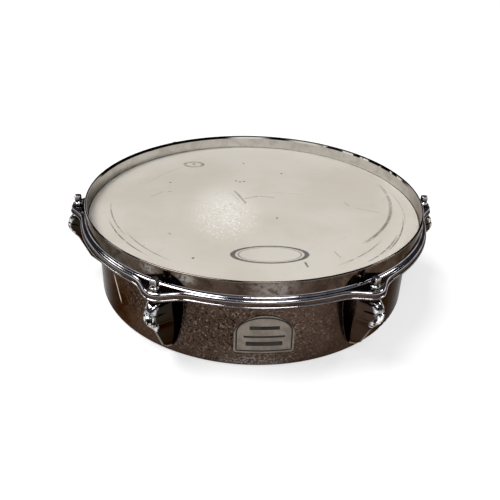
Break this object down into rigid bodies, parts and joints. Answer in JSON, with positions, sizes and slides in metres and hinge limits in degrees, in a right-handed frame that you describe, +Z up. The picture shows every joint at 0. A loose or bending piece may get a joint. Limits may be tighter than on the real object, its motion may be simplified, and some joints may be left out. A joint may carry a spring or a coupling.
{
  "type": "timbale",
  "caption": "Shallow round metal drum with a coated head, flanged hoop, faceted lugs, key-headed tension rods, a blank badge and a rear rod clamp.",
  "frame": {"origin": "centre of the bottom edge, on the drum's axis, in the plane the drum stands on", "axes": "+Z up along the drum's axis; -Y towards the badge; +Y towards the mounting bracket; one lug on +X"},
  "size_m": [0.397, 0.4017, 0.097],
  "materials": {
    "shell_chrome": "polished, lightly pitted",
    "hoop_chrome": "polished, lightly pitted",
    "lug_chrome": "polished",
    "rod_chrome": "polished",
    "bracket_chrome": "polished",
    "bracket_steel": "zinc plated",
    "screw_steel": "zinc plated",
    "hoop_aluminium": "satin",
    "nut_brass": "turned",
    "badge_metal": "satin",
    "coated_film": "sprayed off-white coating",
    "nylon": "moulded",
    "black_rubber": "matt"
  },
  "bodies": {
    "drum": {"shell": "shell_chrome", "badge_plate": "badge_metal", "head_film": "coated_film", "flesh_hoop": "hoop_aluminium", "lug_1": "lug_chrome", "lug_2": "lug_chrome", "lug_3": "lug_chrome", "lug_4": "lug_chrome", "lug_5": "lug_chrome", "lug_6": "lug_chrome", "lug_gasket_1": "black_rubber", "lug_gasket_2": "black_rubber", "lug_gasket_3": "black_rubber", "lug_gasket_4": "black_rubber", "lug_gasket_5": "black_rubber", "lug_gasket_6": "black_rubber", "swivel_nut_1": "nut_brass", "swivel_nut_2": "nut_brass", "swivel_nut_3": "nut_brass", "swivel_nut_4": "nut_brass", "swivel_nut_5": "nut_brass", "swivel_nut_6": "nut_brass", "nut_keepers": "nylon", "lug_screws": "screw_steel", "lug_screw_washers": "screw_steel", "bracket_base": "bracket_chrome", "bracket_gasket": "black_rubber", "bracket_screws": "screw_steel", "bracket_screw_washers": "screw_steel"},
    "counter_hoop": {"counter_hoop": "hoop_chrome", "rod_washers": "rod_chrome"},
    "tension_rod_1": {"tension_rod_1": "rod_chrome"},
    "tension_rod_2": {"tension_rod_2": "rod_chrome"},
    "tension_rod_3": {"tension_rod_3": "rod_chrome"},
    "tension_rod_4": {"tension_rod_4": "rod_chrome"},
    "tension_rod_5": {"tension_rod_5": "rod_chrome"},
    "tension_rod_6": {"tension_rod_6": "rod_chrome"},
    "wing_nut": {"wing_nut": "bracket_chrome"},
    "eye_bolt": {"eye_bolt": "bracket_steel"}
  },
  "joints": [
    {"name": "hoop_travel", "type": "slide", "parent": "drum", "child": "counter_hoop", "axis": [0, 0, 1], "range_m": [0, 0.01]},
    {"name": "rod_turn_1", "type": "hinge", "parent": "counter_hoop", "child": "tension_rod_1", "pos_m": [0.184, 0, 0.0827], "axis": [0, 0, 1], "range_deg": [0, 3403]},
    {"name": "rod_turn_2", "type": "hinge", "parent": "counter_hoop", "child": "tension_rod_2", "pos_m": [0.092, 0.15935, 0.0827], "axis": [0, 0, 1], "range_deg": [0, 3403]},
    {"name": "rod_turn_3", "type": "hinge", "parent": "counter_hoop", "child": "tension_rod_3", "pos_m": [-0.092, 0.15935, 0.0827], "axis": [0, 0, 1], "range_deg": [0, 3403]},
    {"name": "rod_turn_4", "type": "hinge", "parent": "counter_hoop", "child": "tension_rod_4", "pos_m": [-0.184, 0, 0.0827], "axis": [0, 0, 1], "range_deg": [0, 3403]},
    {"name": "rod_turn_5", "type": "hinge", "parent": "counter_hoop", "child": "tension_rod_5", "pos_m": [-0.092, -0.15935, 0.0827], "axis": [0, 0, 1], "range_deg": [0, 3403]},
    {"name": "rod_turn_6", "type": "hinge", "parent": "counter_hoop", "child": "tension_rod_6", "pos_m": [0.092, -0.15935, 0.0827], "axis": [0, 0, 1], "range_deg": [0, 3403]},
    {"name": "wing_turn", "type": "hinge", "parent": "drum", "child": "wing_nut", "pos_m": [0, 0.2061, 0.043], "axis": [0, 1, 0], "range_deg": [-360, 0]},
    {"name": "eye_slide", "type": "slide", "parent": "drum", "child": "eye_bolt", "axis": [0, 1, 0], "range_m": [0, 0.0011]}
  ],
  "couplings": [
    {"joint": "rod_turn_1", "follows": "hoop_travel", "rad_per_m": 5936.9},
    {"joint": "rod_turn_2", "follows": "hoop_travel", "rad_per_m": 5936.9},
    {"joint": "rod_turn_3", "follows": "hoop_travel", "rad_per_m": 5936.9},
    {"joint": "rod_turn_4", "follows": "hoop_travel", "rad_per_m": 5936.9},
    {"joint": "rod_turn_5", "follows": "hoop_travel", "rad_per_m": 5936.9},
    {"joint": "rod_turn_6", "follows": "hoop_travel", "rad_per_m": 5936.9},
    {"joint": "eye_slide", "follows": "wing_turn", "m_per_rad": -0.00015915}
  ]
}
